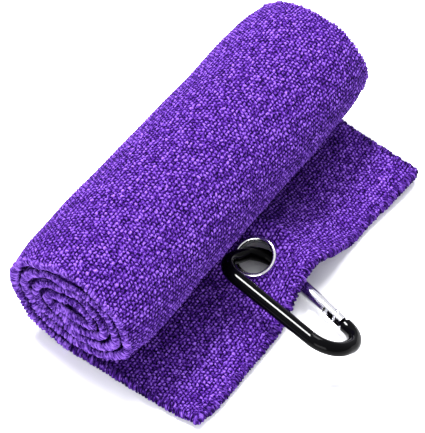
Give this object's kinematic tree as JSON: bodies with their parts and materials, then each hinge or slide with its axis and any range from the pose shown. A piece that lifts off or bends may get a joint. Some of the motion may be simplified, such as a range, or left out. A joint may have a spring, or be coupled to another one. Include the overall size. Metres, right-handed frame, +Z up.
{
  "type": "golf towel",
  "caption": "Golf towel rolled into an oval roll with a loose front flap, a metal eyelet through the flap and a snap clip with a sprung gate hanging in it",
  "frame": {"origin": "on the supporting surface, under the middle of the whole object's box", "axes": "+X along the roll, towards the end that is farther from a viewer who has the flap in front of them; +Y away from the flap; +Z up"},
  "size_m": [0.1526, 0.1142, 0.0509],
  "materials": {
    "towel_cloth": "woven looped microfibre, matt with a soft sheen",
    "hem_thread": "overlocked polyester thread",
    "eyelet_metal": "bright nickel plate",
    "clip_black": "gloss black",
    "gate_steel": "polished bright metal"
  },
  "bodies": {
    "towel": {"towel_sheet": "towel_cloth", "hem_left": "hem_thread", "hem_right": "hem_thread", "hem_front": "hem_thread", "hem_inner": "hem_thread", "eyelet_front": "eyelet_metal", "eyelet_back": "eyelet_metal"},
    "clip": {"clip_body": "clip_black", "gate_pivot_rivet": "gate_steel"},
    "gate": {"gate": "gate_steel", "gate_latch_pin": "gate_steel", "spring_plunger": "gate_steel", "gate_spring": "gate_steel"}
  },
  "joints": [
    {"name": "clip_swing", "type": "hinge", "parent": "towel", "child": "clip", "pos_m": [-0.0064, -0.00387, 0.00694], "axis": [-0.3403, 0, 0.9403], "range_deg": [-5, 8]},
    {"name": "gate_hinge", "type": "hinge", "parent": "clip", "child": "gate", "pos_m": [-0.00231, -0.01353, 0.00345], "axis": [0.4924, -0.0868, 0.866], "range_deg": [-8, 0], "stiffness_Nm_per_rad": 0.02}
  ]
}
